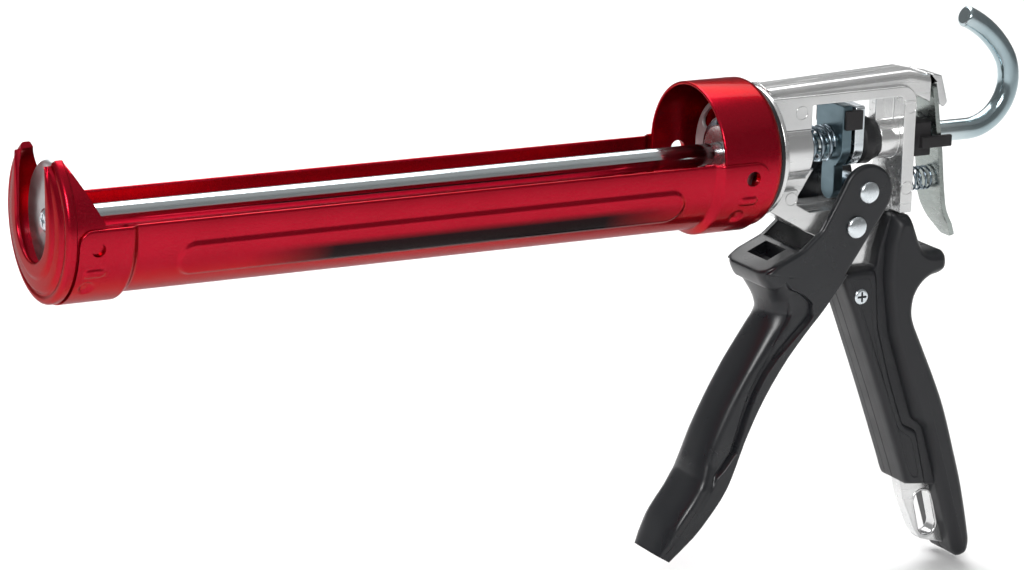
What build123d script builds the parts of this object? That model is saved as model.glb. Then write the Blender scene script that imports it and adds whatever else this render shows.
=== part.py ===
from build123d import *
import os

os.makedirs("parts", exist_ok=True)

# A skeleton caulking gun, in millimetres.
# The origin is where the push rod's axis meets the collar's front lip.
# +X runs to the rear, towards the hook; +Z is up; the row's left side is -Y.

# ---- driving dimensions ----
rod_r = 4.0                # push rod and hook
rod_fit = 0.08             # running clearance of plates and bores round the rod
sheet = 1.2                # steel sheet of the holder
collar_r = 27.0            # outer radius of the collar, for a 50 mm cartridge
collar_rear = 24.8         # outer face of the collar's back wall
cradle_r = 26.0            # outer radius of the trough
cradle_top = 2.0           # height of the trough's long edges over the rod axis
lap_r = collar_r + 0.05    # inside radius of the trough's two lapped ends
cap_skirt_r = 26.95        # outer radius of the front cap's skirt
cap_rim_r = 27.8           # outer radius of the front cap's rolled rim
cap_front = -250.0         # foremost point of the front cap
nozzle_slot_r = 13.5       # radius of the slot for the nozzle
piston_x = -243.4          # front face of the piston plate, rod fully forward
piston_r = 20.0
spigot_r = 10.2            # casting's spigot, on which the holder turns
spigot_front = 12.6
flange_x = 26.6            # front face of the casting's flange
hub_r = 12.7
hub_rear = 45.6
body_half = 10.0           # half width of the casting's beam and strut
crown_half = 7.8           # half width of the beam's rounded crown
pivot_x, pivot_z = 63.6, -28.9      # trigger pivot
roller_x, roller_z = 68.5, -16.3    # roller pin, on the trigger
pivot_pin_r = 3.0
roller_pin_r = 2.5
pin_fit = 0.05
cheek_out = 15.0           # half width over the trigger's cheeks
cheek_in = 12.4
drive_plate_x = 59.8       # front face of the plate with the tail
plate_thick = 4.0
plate_half = 9.0
core_half = 3.0            # half thickness of the casting inside the handle
panel_half = 9.5           # half width of the handle's front part
back_half = 12.5           # half width of the handle's rear part
lever_thick = 1.8
lever_half = 8.0


def corner(x, y):
    """The corner of the sketch being drawn that is nearest to (x, y)."""
    return vertices().sort_by_distance((x, y, 0))[0]


def bar_x(radius, x0, x1, mode=Mode.ADD):
    """A round bar on the rod's axis, from x0 to x1."""
    with Locations(Plane(origin=(x0, 0, 0), z_dir=(1, 0, 0))):
        Cylinder(radius, x1 - x0, align=(Align.CENTER, Align.CENTER, Align.MIN), mode=mode)


def bar_y(radius, x, z, y0, y1, mode=Mode.ADD):
    """A round bar across the gun at (x, z), from y0 to y1."""
    with Locations(Plane(origin=(x, y0, z), x_dir=(1, 0, 0), z_dir=(0, 1, 0))):
        Cylinder(radius, y1 - y0, align=(Align.CENTER, Align.CENTER, Align.MIN), mode=mode)


def block(x0, x1, y0, y1, z0, z1, mode=Mode.ADD):
    """A square block between two corners."""
    with Locations(((x0 + x1) / 2, (y0 + y1) / 2, (z0 + z1) / 2)):
        Box(x1 - x0, y1 - y0, z1 - z0, mode=mode)


def side_plate(points, half, mode=Mode.ADD):
    """A plate of the side outline given, as wide on the left as on the right."""
    with BuildSketch(Plane.XZ) as side:
        with BuildLine():
            Polyline(*points, close=True)
        make_face()
    extrude(side.sketch, amount=half, both=True, mode=mode)


def turned(points, rounded=(), mode=Mode.ADD):
    """A solid turned about the rod's axis, from (x, radius) corners, some of them rounded."""
    with BuildSketch(Plane.XZ) as profile:
        with BuildLine():
            Polyline(*points, close=True)
        make_face()
        for x, y, radius in rounded:
            fillet(corner(x, y), radius)
    revolve(profile.sketch, axis=Axis.X, mode=mode)


# ======== holder: collar, cradle and front cap ========

# Fixing features of the lapped sheets, as (x, z) on both sides of the gun
rear_hole = (11.0, -3.3)
front_hole = (-236.8, -4.7)
side_hole_r = 2.8
small_hole_r = 1.7

with BuildPart() as collar:
    turned(
        [(0, collar_r - 1.4), (0, collar_r), (collar_rear, collar_r), (collar_rear, spigot_r + 0.08),
         (collar_rear - 1.4, spigot_r + 0.08), (collar_rear - 1.4, collar_r - 1.4)],
        [(collar_rear, collar_r, 4.0), (collar_rear - 1.4, collar_r - 1.4, 2.6)])
    bar_y(side_hole_r, *rear_hole, -30, 30, Mode.SUBTRACT)

# The side panels are pressed outwards by less than the sheet's thickness
panel_mid, panel_long = -111.0, 194.0
panel_z, panel_high, panel_rise = -11.65, 13.7, 0.9
with BuildPart() as pressed_out:
    bar_x(cradle_r + panel_rise, panel_mid - 100, panel_mid + 100)
    bar_x(cradle_r - 0.4, panel_mid - 100, panel_mid + 100, Mode.SUBTRACT)
    with BuildSketch(Plane.XZ):
        with Locations((panel_mid, panel_z)):
            SlotOverall(panel_long, panel_high)
    extrude(amount=30, both=True, mode=Mode.INTERSECT)
with BuildPart() as pressed_in:
    bar_x(cradle_r - sheet + panel_rise, panel_mid - 100, panel_mid + 100)
    bar_x(cradle_r - sheet - 1, panel_mid - 100, panel_mid + 100, Mode.SUBTRACT)
    with BuildSketch(Plane.XZ):
        with Locations((panel_mid, panel_z)):
            SlotOverall(panel_long - 2 * sheet, panel_high - 2 * sheet)
    extrude(amount=30, both=True, mode=Mode.INTERSECT)

# The trough is bent from one sheet; its ends are joggled outwards over the collar and the cap
lap_out = lap_r + sheet
cradle_in = cradle_r - sheet
cradle_front, cradle_back = -243.5, 17.5
with BuildPart() as cradle:
    turned([(cradle_front, lap_out), (-225, lap_out), (-222, cradle_r), (-3.5, cradle_r), (-0.3, lap_out),
            (cradle_back, lap_out), (cradle_back, lap_r), (-0.4, lap_r), (-3.8, cradle_in),
            (-221.7, cradle_in), (-225.2, lap_r), (cradle_front, lap_r)])
    with BuildSketch(Plane.XZ):
        with Locations(((cradle_front + cradle_back) / 2, cradle_top - 20)):
            RectangleRounded(cradle_back - cradle_front, 40, 5)
    extrude(amount=30, both=True, mode=Mode.INTERSECT)
    add(pressed_out.part)
    add(pressed_in.part, mode=Mode.SUBTRACT)
    bar_y(side_hole_r, *rear_hole, -30, 30, Mode.SUBTRACT)
    bar_y(side_hole_r - 0.4, *front_hole, -30, 30, Mode.SUBTRACT)
    bar_y(small_hole_r, 8.0, -18.0, -30, 30, Mode.SUBTRACT)
    bar_y(small_hole_r, -239.0, -18.0, -30, 30, Mode.SUBTRACT)

# The cap is a pressed horseshoe: skirt, rolled rim, and a stepped face that ends at the nozzle slot
with BuildPart() as front_cap:
    turned(
        [(-226, cap_skirt_r), (-243.8, cap_skirt_r), (-243.8, cap_rim_r), (-247.4, cap_rim_r),
         (-247.4, 25.2), (-248.2, 23.4), (-248.8, 18.6), (cap_front, 17.4), (cap_front, nozzle_slot_r),
         (-248.6, nozzle_slot_r), (-247.4, 17.4), (-246.8, 22.6), (-245.8, 25.6), (-226, 25.6)],
        [(-247.4, cap_rim_r, 1.6), (-243.8, cap_rim_r, 0.7)])
    block(-260, -200, -nozzle_slot_r, nozzle_slot_r, 0, 40, Mode.SUBTRACT)
    side_plate([(-255, -30), (-220, -30), (-220, 1.0), (-232, 1.0), (-245, 23.5), (-255, 23.5)], 40,
               Mode.INTERSECT)

# ======== rod: push rod with hook, piston and its fixing ========

rod_front = -240.3
hook_start = 120.0
with BuildPart() as push_rod:
    with BuildLine(Plane.XZ) as rod_line:
        straight = Line((rod_front, 0), (hook_start, 0))
        bend = JernArc(straight @ 1, straight % 1, radius=18, arc_size=123)
        crook = JernArc(bend @ 1, bend % 1, radius=40, arc_size=35)
    with BuildSketch(Plane(origin=(rod_front, 0, 0), z_dir=(1, 0, 0))):
        Circle(rod_r)
    sweep()
    hook_tip = faces().filter_by(GeomType.PLANE).sort_by(Axis.Z)[-1]
    chamfer(hook_tip.edges(), 1.2)
    bar_x(2.5, rod_front - 1, rod_front + 14, Mode.SUBTRACT)

with BuildPart() as piston_plate:
    turned(
        [(piston_x, 2.7), (piston_x, piston_r), (piston_x + 3.4, piston_r), (piston_x + 3.4, piston_r - 1.4),
         (piston_x + 1.4, piston_r - 1.4), (piston_x + 1.4, 2.7)],
        [(piston_x, piston_r, 1.3), (piston_x + 3.4, piston_r, 0.5)])

with BuildPart() as piston_washer:
    bar_x(7.5, piston_x + 1.4, rod_front)
    bar_x(2.7, piston_x + 1, rod_front + 1, Mode.SUBTRACT)

# Pan-head cross-recess screw, up the axis of the rod
with BuildPart() as piston_screw:
    turned([(piston_x - 2.3, 0), (piston_x - 2.3, 2.6), (piston_x - 1.4, 4.0), (piston_x, 4.3),
            (piston_x, 2.46), (rod_front + 12, 2.46), (rod_front + 12, 0)])
    block(piston_x - 3, piston_x - 1.3, -0.5, 0.5, -2.2, 2.2, Mode.SUBTRACT)
    block(piston_x - 3, piston_x - 1.3, -2.2, 2.2, -0.5, 0.5, Mode.SUBTRACT)

# ======== frame: the die-cast body and what is fixed to it ========

strut_front, strut_rear = 85.7, 90.9
clip_front, clip_rear = 13.4, 14.5
screw_x, screw_z = 71.1, -57.4
core_outline = [
    (60.0, -34.0), (70.0, -27.0), (84.0, -25.5), (86.5, -10.0), (strut_rear, -10.0), (90.2, -27.0),
    (91.0, -36.0), (94.0, -44.0), (91.4, -54.0), (90.6, -64.0), (94.5, -75.0), (100.0, -86.0),
    (108.0, -104.0), (113.4, -122.0), (117.2, -138.0), (120.2, -152.0), (121.4, -162.0),
    (112.1, -159.7), (107.4, -158.3), (104.5, -154.6), (98.7, -141.9), (96.8, -135.0),
    (94.0, -123.0), (89.5, -111.0), (78.3, -82.0), (71.5, -65.0), (68.0, -57.0), (64.5, -48.0)]
with BuildPart() as crown:
    side_plate([(28.4, 18.0), (88.0, 18.4), (98.4, 13.5), (98.4, 23.7), (89.5, 25.8), (28.4, 23.3)],
               crown_half)
    long_edges = edges().filter_by(lambda edge: edge.center().Z > 22.6 and abs(edge.center().Y) > 7)
    fillet(long_edges, 3.0)

with BuildPart() as body_casting:
    # top beam with the front web that joins it to the hub, and the strut down to the handle
    with BuildSketch(Plane.XZ):
        with BuildLine():
            Polyline((28.4, 8), (46.0, 8), (46.0, 16.8), (strut_front, 17.0), (strut_front, -27),
                     (strut_rear, -27), (strut_rear, 20.8), (28.4, 20.4), close=True)
        make_face()
        fillet(corner(strut_rear, 20.8), 6.0)
        fillet(corner(strut_front, 17.0), 2.6)
    extrude(amount=body_half, both=True)
    add(crown.part)
    # hook at the rear end, behind the top of the release lever, parted from the beam on the near side
    side_plate([(97.5, 19.9), (101.8, 19.9), (103.4, 12.2), (105.6, 10.6), (107.2, 12.4), (104.2, 22.6),
                (97.5, 24.0)], 6.0)
    block(98.6, 100.1, -8, -2.4, 20.5, 26, Mode.SUBTRACT)
    # rear guide boss and its rib
    bar_x(7.7, 78.0, strut_rear)
    block(78.0, strut_rear, -2.6, 2.6, 6, 18)
    # gusset below the rear end of the hub
    side_plate([(32.0, -8.0), (46.5, -8.0), (49.6, -7.4), (42.4, -18.6), (32.0, -18.0)], 7.0)
    # pivot arm, from the flange back to the lug of the trigger pivot
    side_plate([(28.4, -13.8), (41.0, -13.8), (41.0, -19.6), (46.5, -22.8), (pivot_x, -22.8), (69.0, -29.0),
                (pivot_x, -35.4), (57.0, -35.4), (45.0, -30.0), (28.4, -20.4)], body_half)
    bar_y(6.3, pivot_x, pivot_z, -body_half, body_half)
    # core inside the handle, down to the tongue with the lanyard slot
    side_plate(core_outline, core_half)
    with BuildSketch(Plane.XZ):
        with Locations(Location((108.6, -148.0), 104.6)):
            SlotOverall(19.0, 8.6)
    extrude(amount=10, both=True, mode=Mode.SUBTRACT)
    # flange, hub and the spigot that carries the holder, with the groove of its circlip
    bar_x(23.8, flange_x, 28.4)
    bar_x(hub_r, 28.4, hub_rear)
    bar_x(spigot_r, spigot_front, 28.4)
    turned([(clip_front, 9.4), (clip_rear, 9.4), (clip_rear, 12.0), (clip_front, 12.0)], mode=Mode.SUBTRACT)
    # bores
    bar_x(rod_r + rod_fit, 0, 110, Mode.SUBTRACT)
    bar_y(pivot_pin_r, pivot_x, pivot_z, -30, 30, Mode.SUBTRACT)
    bar_y(2.2, screw_x, screw_z, -30, 30, Mode.SUBTRACT)

with BuildPart() as swivel_ring:
    bar_x(23.9, 25.1, flange_x)
    bar_x(spigot_r + 0.05, 25, flange_x + 1, Mode.SUBTRACT)

# Disc with a sleeve behind it; the collar's back wall turns between sleeve and swivel ring
with BuildPart() as seat_disc:
    turned([(14.8, spigot_r + 0.02), (14.8, 19.7), (16.3, 19.7), (16.3, 11.7), (23.1, 11.7),
            (23.1, spigot_r + 0.02)])
    for middle in (30, 150, 270):
        with BuildSketch(Plane(origin=(14, 0, 0), x_dir=(0, 1, 0), z_dir=(1, 0, 0))):
            SlotArc(CenterArc((0, 0), 15.6, middle - 26, 52), 4.6)
        extrude(amount=3, mode=Mode.SUBTRACT)

with BuildPart() as swivel_circlip:
    turned([(clip_front + 0.05, 9.45), (clip_rear - 0.05, 9.45), (clip_rear - 0.05, 12.2),
            (clip_front + 0.05, 12.2)])
    block(13, 15, -3, 3, 5, 13, Mode.SUBTRACT)

with BuildPart() as rear_buffer:
    turned([(69.6, rod_r + rod_fit), (69.6, 7.4), (71.0, 8.8), (74.4, 9.0), (78.0, 7.2),
            (78.0, rod_r + rod_fit)])

# Black block round the rod, whose side tabs run past the edges of the release lever
with BuildPart() as release_guide:
    block(strut_rear, 99.3, -8, 8, -6.6, 6.2)
    block(94, 99.3, -10.3, 10.3, -3.4, 1.0)
    for edge in (-9.35, 9.35):
        block(99.2, 107.2, edge - 0.95, edge + 0.95, -3.4, 1.0)
    bar_x(rod_r + rod_fit, 90, 110, Mode.SUBTRACT)


def coil(x0, x1, z, turns, radius, wire):
    """A coil spring between x0 and x1, on an axis along X at height z."""
    long = x1 - x0 - 2 * wire
    with BuildLine() as helix:
        Helix(pitch=long / turns, height=long, radius=radius, center=(x0 + wire, 0, z), direction=(1, 0, 0))
    with BuildSketch(Plane(origin=helix.line @ 0, z_dir=helix.line % 0)) as section:
        Circle(wire)
    sweep(section.sketch, path=helix.line, is_frenet=True)


with BuildPart() as drive_spring:
    coil(hub_rear + 0.3, drive_plate_x - 0.4, 0, 3.5, 6.1, 0.75)

with BuildPart() as release_spring:
    coil(strut_rear + 0.2, 103.4, -17.0, 5, 4.1, 0.45)


def rivet(x, z, shank_r, head_r, grip):
    """A rivet across the gun, with a rounded head beyond each end of its half grip."""
    bar_y(shank_r, x, z, -grip, grip)
    for side in (-1, 1):
        near, far = sorted((side * grip, side * (grip + 1.9)))
        bar_y(head_r, x, z, near, far)
    rims = edges().filter_by(GeomType.CIRCLE).group_by(Axis.Y)
    fillet(rims[0] + rims[-1], 1.4)


with BuildPart() as trigger_pivot_pin:
    rivet(pivot_x, pivot_z, pivot_pin_r, 4.1, cheek_out + 0.3)

# ======== frame: handle shells ========

front_edge = [(61.7, -47.7), (66.0, -58.0), (69.0, -65.0), (81.5, -96.5), (87.0, -111.0), (92.6, -126.0),
              (95.2, -133.5)]
ledge = [(78.0, -47.6), (78.6, -41.0), (82.6, -28.6), (84.4, -27.0)]
top_rear = [(91.6, -28.6), (93.4, -32.0), (98.2, -41.4), (99.6, -42.0)]
hollow = [(99.5, -57.0), (96.4, -61.0), (95.4, -65.0), (97.0, -71.0), (102.7, -81.3), (112.6, -103.6),
          (121.8, -133.3), (125.0, -148.1), (127.2, -158.5)]
strip_foot = [(125.4, -164.8), (121.0, -166.2), (118.2, -163.0), (115.6, -155.0), (110.5, -135.8)]


def handle_outline():
    """The handle's whole side outline, with the thumb rest at the rear."""
    with BuildLine() as outline:
        start = Polyline(*front_edge[::-1], *ledge, *top_rear)
        rest = Spline(start @ 1, (106.0, -43.6), (110.2, -48.2), (106.0, -52.8), hollow[0],
                      tangents=[(1, -0.15), (-1, -0.75)])
        back = Spline(*hollow, tangents=[(-1, -1), (0.1, -1)])
        Polyline(back @ 1, *strip_foot, start @ 0)
    make_face(outline.edges())


def back_outline():
    """The thicker rear part of the handle, behind its ledge."""
    with BuildLine() as outline:
        start = Polyline((112.0, -140.0), (104.0, -112.0), (98.5, -108.0), (86.5, -74.0), (82.8, -52.0),
                         (83.4, -38.0), (84.4, -27.0), *top_rear)
        rest = Spline(start @ 1, (106.0, -43.6), (110.2, -48.2), (106.0, -52.8), hollow[0],
                      tangents=[(1, -0.15), (-1, -0.75)])
        back = Spline(*hollow, tangents=[(-1, -1), (0.1, -1)])
        Polyline(back @ 1, *strip_foot[:-1], start @ 0)
    make_face(outline.edges())


with BuildPart() as grip_shell_left:
    with BuildSketch(Plane.XZ):
        handle_outline()
    extrude(amount=panel_half)
    with BuildSketch(Plane.XZ):
        back_outline()
    extrude(amount=back_half)
    side_plate(core_outline, core_half + 0.02, Mode.SUBTRACT)
    bar_y(2.1, screw_x, screw_z, -30, 30, Mode.SUBTRACT)
    bar_y(3.5, screw_x, screw_z, -30, -8.0, Mode.SUBTRACT)

with BuildPart() as grip_shell_right:
    with BuildSketch(Plane.XZ):
        handle_outline()
    extrude(amount=-panel_half)
    with BuildSketch(Plane.XZ):
        back_outline()
    extrude(amount=-back_half)
    side_plate(core_outline, core_half + 0.02, Mode.SUBTRACT)
    bar_y(2.1, screw_x, screw_z, -30, 30, Mode.SUBTRACT)
    with BuildSketch(Plane(origin=(screw_x, 6.6, screw_z), x_dir=(1, 0, 0), z_dir=(0, 1, 0))):
        RegularPolygon(3.6, 6, major_radius=False)
    extrude(amount=20, mode=Mode.SUBTRACT)

with BuildPart() as grip_screw:
    bar_y(3.1, screw_x, screw_z, -9.9, -8.0)
    fillet(edges().group_by(Axis.Y)[0], 1.0)
    bar_y(2.0, screw_x, screw_z, -8.1, 9.0)
    block(screw_x - 1.9, screw_x + 1.9, -11, -8.8, screw_z - 0.4, screw_z + 0.4, Mode.SUBTRACT)
    block(screw_x - 0.4, screw_x + 0.4, -11, -8.8, screw_z - 1.9, screw_z + 1.9, Mode.SUBTRACT)

with BuildPart() as grip_nut:
    with BuildSketch(Plane(origin=(screw_x, 6.65, screw_z), x_dir=(1, 0, 0), z_dir=(0, 1, 0))):
        RegularPolygon(3.5, 6, major_radius=False)
        Circle(2.0, mode=Mode.SUBTRACT)
    extrude(amount=2.6)

# ======== drive: the two plates on the rod and the block that spaces them ========

grip_plate_x = drive_plate_x + plate_thick + 1.4


def plate_outline(high):
    """Square-topped, round-bottomed plate seen along the rod."""
    Circle(plate_half)
    with Locations((0, high / 2)):
        RectangleRounded(2 * plate_half, high, 1.2)
    Circle(rod_r + rod_fit, mode=Mode.SUBTRACT)


with BuildPart() as drive_plate:
    with BuildSketch(Plane(origin=(drive_plate_x, 0, 0), x_dir=(0, 1, 0), z_dir=(1, 0, 0))):
        plate_outline(15.0)
        with Locations((0, -13.4)):
            SlotOverall(15.2, 8.4, rotation=90)
    extrude(amount=plate_thick)

with BuildPart() as grip_plate:
    with BuildSketch(Plane(origin=(grip_plate_x, 0, 0), x_dir=(0, 1, 0), z_dir=(1, 0, 0))):
        plate_outline(14.6)
    extrude(amount=plate_thick)

with BuildPart() as plate_carrier:
    gap_x = drive_plate_x + plate_thick
    block(gap_x, grip_plate_x, -10.4, 10.4, 6.2, 13.4)
    for side in (-1, 1):
        middle = side * (plate_half + 10.4) / 2
        block(60.4, 67.6, middle - 0.7, middle + 0.7, 6.2, 13.4)

# ======== trigger with its roller ========

trigger_front = [(-12.6, -146.5), (-6.5, -134.7), (0.4, -125.2), (4.4, -117.5), (9.7, -102.1), (16.4, -89.1),
                 (28.0, -69.8), (32.4, -61.0), (31.6, -54.5), (25.6, -42.5)]
trigger_rear = [(-7.5, -149.8), (-1.8, -144.0), (6.0, -136.0), (15.0, -124.2), (22.3, -105.2),
                (36.1, -79.4), (53.0, -57.4), (77.6, -22.0)]
wall_inside = [(9.0, -121.0), (13.2, -103.6), (19.9, -90.9), (31.4, -71.6), (36.0, -61.6), (35.2, -53.6),
               (30.6, -43.2), (45.0, -37.5)]


def trim_width(widths):
    """Keeps what is inside a symmetric outline seen along the rod, from (half width, z) pairs."""
    with BuildSketch(Plane.YZ) as front_view:
        with BuildLine():
            Polyline(*widths, *[(-y, z) for y, z in widths[::-1]], close=True)
        make_face()
    extrude(front_view.sketch, amount=130, both=True, mode=Mode.INTERSECT)


with BuildPart() as trigger_pocket:
    side_plate([*wall_inside, (45.0, -30.0), (45.0, 10.0), (100.0, 10.0), (100.0, -60.0), (60.0, -121.0)], 20)
    trim_width([(cheek_in, 20), (cheek_in, -50), (10.2, -78), (9.4, -125)])

with BuildPart() as trigger:
    with BuildSketch(Plane.XZ):
        with BuildLine():
            front = Spline(*trigger_front)
            saddle = Polyline(front @ 1, (31.0, -40.2), (41.2, -35.8), (49.4, -29.1), (54.5, -20.3), (58.8, -12.4))
            crown = ThreePointArc(saddle @ 1, (roller_x + 1.5, roller_z + 10.2), trigger_rear[-1])
            rear = Spline(*trigger_rear)
            Line(rear @ 0, front @ 0)
        make_face()
    extrude(amount=cheek_out, both=True)
    trim_width([(cheek_out, 20), (cheek_out, -50), (12.8, -78), (12.0, -120), (12.6, -152)])
    add(trigger_pocket.part, mode=Mode.SUBTRACT)
    # window through the saddle, between the horn and the cross-bar
    block(31.0, 39.0, -7.0, 7.0, -50, -30, Mode.SUBTRACT)
    bar_y(pivot_pin_r + pin_fit, pivot_x, pivot_z, -30, 30, Mode.SUBTRACT)
    bar_y(roller_pin_r, roller_x, roller_z, -30, 30, Mode.SUBTRACT)

with BuildPart() as roller_pin:
    rivet(roller_x, roller_z, roller_pin_r, 4.1, cheek_out)

with BuildPart() as drive_roller:
    bar_y(4.4, roller_x, roller_z, -4.6, 4.6)
    bar_y(roller_pin_r + pin_fit, roller_x, roller_z, -5, 5, Mode.SUBTRACT)

# ======== release lever ========

lever_line = [(99.9, 18.6), (101.4, 10.1), (102.2, 4.4), (103.5, -3.3), (104.4, -10.9), (105.5, -20.5),
              (107.3, -28.3), (110.6, -34.2), (114.2, -39.6)]
with BuildPart() as release_lever:
    with BuildSketch(Plane.XZ):
        with BuildLine():
            Spline(*lever_line)
        trace(line_width=lever_thick)
    extrude(amount=lever_half, both=True)
    trim_width([(lever_half, 30), (lever_half, -24), (6.6, -34), (3.4, -39.6), (0.4, -41.2)])
    bar_x(4.7, 90, 120, Mode.SUBTRACT)

collar.part.label = "collar"
export_step(collar.part, "parts/collar.step")
cradle.part.label = "cradle"
export_step(cradle.part, "parts/cradle.step")
front_cap.part.label = "front_cap"
export_step(front_cap.part, "parts/front_cap.step")
push_rod.part.label = "push_rod"
export_step(push_rod.part, "parts/push_rod.step")
piston_plate.part.label = "piston_plate"
export_step(piston_plate.part, "parts/piston_plate.step")
piston_washer.part.label = "piston_washer"
export_step(piston_washer.part, "parts/piston_washer.step")
piston_screw.part.label = "piston_screw"
export_step(piston_screw.part, "parts/piston_screw.step")
body_casting.part.label = "body_casting"
export_step(body_casting.part, "parts/body_casting.step")
swivel_ring.part.label = "swivel_ring"
export_step(swivel_ring.part, "parts/swivel_ring.step")
seat_disc.part.label = "seat_disc"
export_step(seat_disc.part, "parts/seat_disc.step")
swivel_circlip.part.label = "swivel_circlip"
export_step(swivel_circlip.part, "parts/swivel_circlip.step")
rear_buffer.part.label = "rear_buffer"
export_step(rear_buffer.part, "parts/rear_buffer.step")
release_guide.part.label = "release_guide"
export_step(release_guide.part, "parts/release_guide.step")
drive_spring.part.label = "drive_spring"
export_step(drive_spring.part, "parts/drive_spring.step")
release_spring.part.label = "release_spring"
export_step(release_spring.part, "parts/release_spring.step")
trigger_pivot_pin.part.label = "trigger_pivot_pin"
export_step(trigger_pivot_pin.part, "parts/trigger_pivot_pin.step")
grip_shell_left.part.label = "grip_shell_left"
export_step(grip_shell_left.part, "parts/grip_shell_left.step")
grip_shell_right.part.label = "grip_shell_right"
export_step(grip_shell_right.part, "parts/grip_shell_right.step")
grip_screw.part.label = "grip_screw"
export_step(grip_screw.part, "parts/grip_screw.step")
grip_nut.part.label = "grip_nut"
export_step(grip_nut.part, "parts/grip_nut.step")
drive_plate.part.label = "drive_plate"
export_step(drive_plate.part, "parts/drive_plate.step")
grip_plate.part.label = "grip_plate"
export_step(grip_plate.part, "parts/grip_plate.step")
plate_carrier.part.label = "plate_carrier"
export_step(plate_carrier.part, "parts/plate_carrier.step")
trigger.part.label = "trigger"
export_step(trigger.part, "parts/trigger.step")
roller_pin.part.label = "roller_pin"
export_step(roller_pin.part, "parts/roller_pin.step")
drive_roller.part.label = "drive_roller"
export_step(drive_roller.part, "parts/drive_roller.step")
release_lever.part.label = "release_lever"
export_step(release_lever.part, "parts/release_lever.step")
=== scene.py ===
from math import radians

import bmesh
import bpy
import numpy as np
from mathutils import Matrix, Vector


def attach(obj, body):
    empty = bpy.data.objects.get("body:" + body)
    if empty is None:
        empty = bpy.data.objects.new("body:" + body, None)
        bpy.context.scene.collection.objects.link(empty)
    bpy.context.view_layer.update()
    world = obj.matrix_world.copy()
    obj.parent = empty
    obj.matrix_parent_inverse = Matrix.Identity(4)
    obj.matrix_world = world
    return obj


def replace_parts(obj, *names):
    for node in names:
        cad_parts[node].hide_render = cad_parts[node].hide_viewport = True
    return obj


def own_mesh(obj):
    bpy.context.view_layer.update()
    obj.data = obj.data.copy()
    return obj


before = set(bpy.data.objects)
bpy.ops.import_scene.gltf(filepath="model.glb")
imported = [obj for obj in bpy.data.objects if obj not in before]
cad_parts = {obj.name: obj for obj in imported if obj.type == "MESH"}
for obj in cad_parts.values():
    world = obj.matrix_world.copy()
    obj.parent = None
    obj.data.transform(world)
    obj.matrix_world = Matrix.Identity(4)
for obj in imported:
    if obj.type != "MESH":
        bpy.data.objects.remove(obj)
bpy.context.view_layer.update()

# ---- Body casting ----
# The bright body is one aluminium die casting: flange, hub, top beam, rear strut, trigger lug and the
# core of the handle. It is tumbled and polished, so its edges are softly broken and its faces streaky.
MM = 0.001
seam_gap, flat_turn, edge_turn = 2e-6, radians(0.6), radians(38)
body_half = 10.0
mark_radius, mark_half_width, mark_rise = 2.4, 0.2, 0.22
mark_centres = ((41.4, 14.4), (88.3, 12.8), (88.4, -17.7), (38.4, -17.2))
slot_x, slot_z, slot_tilt = 108.6, -148.0, radians(104.6)
slot_radius, slot_half_length = 4.45, 5.2
rim_half_width, rim_half_depth = 0.75, 3.25


def smooth(mesh, angle):
    """Rounds the shading over every edge that turns by less than the angle, in degrees."""
    mesh.polygons.foreach_set("use_smooth", np.ones(len(mesh.polygons), dtype=bool))
    mesh.set_sharp_from_angle(angle=radians(angle))


def place(mesh, name, body, material):
    """Puts a mesh in the scene as a piece that rides on a body, with the given material."""
    piece = bpy.data.objects.new(name, mesh)
    bpy.context.scene.collection.objects.link(piece)
    mesh.materials.clear()
    mesh.materials.append(material)
    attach(piece, body)
    return piece


def broken_edges(node, body, material, width):
    """The CAD piece with its seams merged and flat faces joined, and its edges rounded by a bevel."""
    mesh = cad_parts[node].data.copy()
    work = bmesh.new()
    work.from_mesh(mesh)
    bmesh.ops.remove_doubles(work, verts=work.verts, dist=seam_gap)
    bmesh.ops.dissolve_limit(work, angle_limit=flat_turn, verts=work.verts, edges=work.edges)
    work.to_mesh(mesh)
    work.free()
    mesh.name = node + "_skin"
    smooth(mesh, 180)
    piece = place(mesh, node + "_skin", body, material)
    bevel = piece.modifiers.new("broken edges", "BEVEL")
    bevel.width = width * MM
    bevel.segments = 2
    bevel.limit_method = "ANGLE"
    bevel.angle_limit = edge_turn
    bevel.use_clamp_overlap = False
    shade = piece.modifiers.new("flat faces", "WEIGHTED_NORMAL")
    shade.keep_sharp = False
    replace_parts(piece, node)
    return piece


def finish_nodes(name, colour, metallic, roughness):
    """A material, its node tree and its shader, set to one colour, metalness and roughness."""
    material = bpy.data.materials.new(name)
    material.use_nodes = True
    tree = material.node_tree
    shader = tree.nodes["Principled BSDF"]
    shader.inputs["Base Color"].default_value = (*colour, 1)
    shader.inputs["Metallic"].default_value = metallic
    shader.inputs["Roughness"].default_value = roughness
    return material, tree, shader


def noise(tree, scale, stretch=(1, 1, 1), detail=3.0):
    """Noise over the piece's own coordinates, in metres, finer where stretch is larger."""
    where = tree.nodes.new("ShaderNodeTexCoord")
    mapping = tree.nodes.new("ShaderNodeMapping")
    mapping.inputs["Scale"].default_value = stretch
    texture = tree.nodes.new("ShaderNodeTexNoise")
    texture.inputs["Scale"].default_value = scale
    texture.inputs["Detail"].default_value = detail
    tree.links.new(where.outputs["Object"], mapping.inputs["Vector"])
    tree.links.new(mapping.outputs["Vector"], texture.inputs["Vector"])
    return texture.outputs["Fac"]


def spread(tree, value, low, high, start=0.3, end=0.7):
    """Stretches a value between start and end to run from low to high."""
    node = tree.nodes.new("ShaderNodeMapRange")
    node.inputs["From Min"].default_value = start
    node.inputs["From Max"].default_value = end
    node.inputs["To Min"].default_value = low
    node.inputs["To Max"].default_value = high
    tree.links.new(value, node.inputs["Value"])
    return node.outputs["Result"]


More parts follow.
